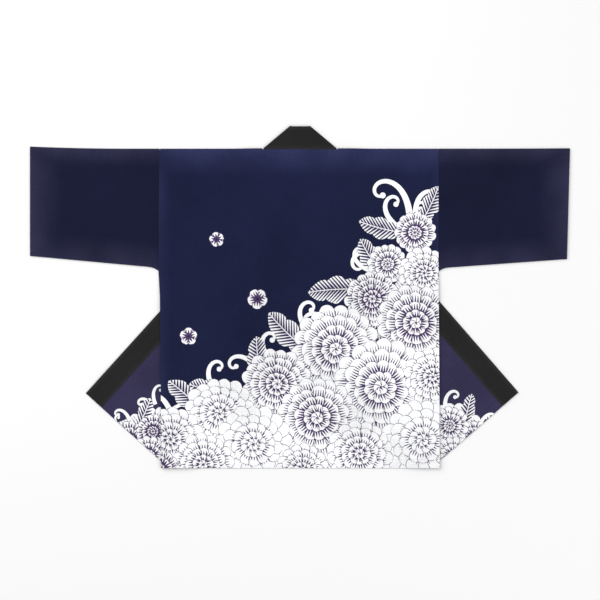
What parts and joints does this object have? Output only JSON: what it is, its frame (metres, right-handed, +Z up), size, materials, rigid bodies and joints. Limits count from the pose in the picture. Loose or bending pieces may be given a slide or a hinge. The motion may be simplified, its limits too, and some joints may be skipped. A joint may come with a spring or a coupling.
{
  "type": "happi coat laid flat",
  "caption": "Short open-fronted cotton coat with wide tube sleeves and a plain collar band, laid face down and flat with its front corners folded out under the back",
  "frame": {"origin": "the middle of the coat's plan, on the surface it lies on", "axes": "+X to the wearer's right, cuff to cuff; +Y from the hem up to the collar; +Z up off the surface, out of the back of the coat"},
  "size_m": [1.27, 0.8058, 0.007],
  "materials": {
    "back_cloth": "matt dyed cotton, printed with white and purple-grey",
    "front_cloth": "matt dyed cotton, printed with white and purple-grey",
    "sleeve_cloth": "matt dyed cotton",
    "band_cloth": "matt near-black cotton"
  },
  "bodies": {
    "root": {"back": "back_cloth", "front_left": "front_cloth", "front_right": "front_cloth", "sleeve_left": "sleeve_cloth", "sleeve_right": "sleeve_cloth", "collar_band": "band_cloth"}
  },
  "joints": []
}
